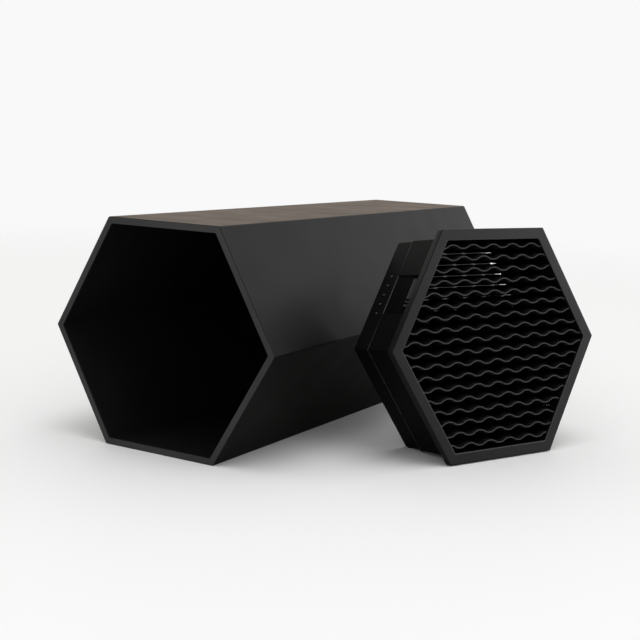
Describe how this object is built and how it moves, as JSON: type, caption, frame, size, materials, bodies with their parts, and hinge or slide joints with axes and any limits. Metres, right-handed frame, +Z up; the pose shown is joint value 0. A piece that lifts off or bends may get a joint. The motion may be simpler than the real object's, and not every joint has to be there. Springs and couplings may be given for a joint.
{
  "type": "knife block",
  "caption": "Hexagonal knife block lying on one flat, with its slotted insert of wavy slats lifted out and stood beside it, leaning back on its flange.",
  "frame": {"origin": "middle of the shell's lower flat, on the surface that it lies on", "axes": "+Z up, +Y along the shell from its open mouth to its closed base, +X towards the side where the insert stands"},
  "size_m": [0.1826, 0.2252, 0.0925],
  "materials": {
    "shell": "soft-touch black coating on moulded plastic, very fine grain",
    "base": "bare black moulded plastic",
    "foot": "dull black rubber",
    "frame": "satin black moulded plastic, finely grained on the flange's face",
    "slat": "satin black moulded plastic, smooth"
  },
  "bodies": {
    "shell": {"outer_shell": "shell", "base_plate": "base", "foot_1": "foot", "foot_2": "foot", "foot_3": "foot", "foot_4": "foot", "foot_5": "foot", "foot_6": "foot"},
    "insert_rear": {"rear_frame": "frame", "rear_slat_01": "slat", "rear_slat_02": "slat", "rear_slat_03": "slat", "rear_slat_04": "slat", "rear_slat_05": "slat", "rear_slat_06": "slat", "rear_slat_07": "slat", "rear_slat_08": "slat", "rear_slat_09": "slat", "rear_slat_10": "slat", "rear_slat_11": "slat", "rear_slat_12": "slat", "rear_slat_13": "slat", "rear_slat_14": "slat", "rear_slat_15": "slat", "rear_slat_16": "slat", "rear_slat_17": "slat", "rear_slat_18": "slat"},
    "insert_front": {"front_frame": "frame", "front_slat_01": "slat", "front_slat_02": "slat", "front_slat_03": "slat", "front_slat_04": "slat", "front_slat_05": "slat", "front_slat_06": "slat", "front_slat_07": "slat", "front_slat_08": "slat", "front_slat_09": "slat", "front_slat_10": "slat", "front_slat_11": "slat", "front_slat_12": "slat", "front_slat_13": "slat", "front_slat_14": "slat", "front_slat_15": "slat", "front_slat_16": "slat", "front_slat_17": "slat", "front_slat_18": "slat"},
    "latch_upper": {"latch_upper": "frame"},
    "latch_lower": {"latch_lower": "frame"}
  },
  "joints": [
    {"name": "insert_carry", "type": "slide", "parent": "shell", "child": "insert_rear", "axis": [0.9003, -0.4352, 0], "range_m": [0, 0.08]},
    {"name": "front_frame_pull", "type": "slide", "parent": "insert_rear", "child": "insert_front", "axis": [0.8912, -0.4308, 0.1419], "range_m": [0, 0.045]},
    {"name": "latch_upper_bend", "type": "hinge", "parent": "insert_rear", "child": "latch_upper", "pos_m": [0.06826, -0.05008, 0.06436], "axis": [-0.1069, -0.5037, -0.8573], "range_deg": [0, 6], "stiffness_Nm_per_rad": 0.002, "springref_deg": -2.86},
    {"name": "latch_lower_bend", "type": "hinge", "parent": "insert_rear", "child": "latch_lower", "pos_m": [0.1056, 0.01335, 0.02244], "axis": [0.1069, 0.5037, 0.8573], "range_deg": [0, 6], "stiffness_Nm_per_rad": 0.002, "springref_deg": -2.86}
  ]
}
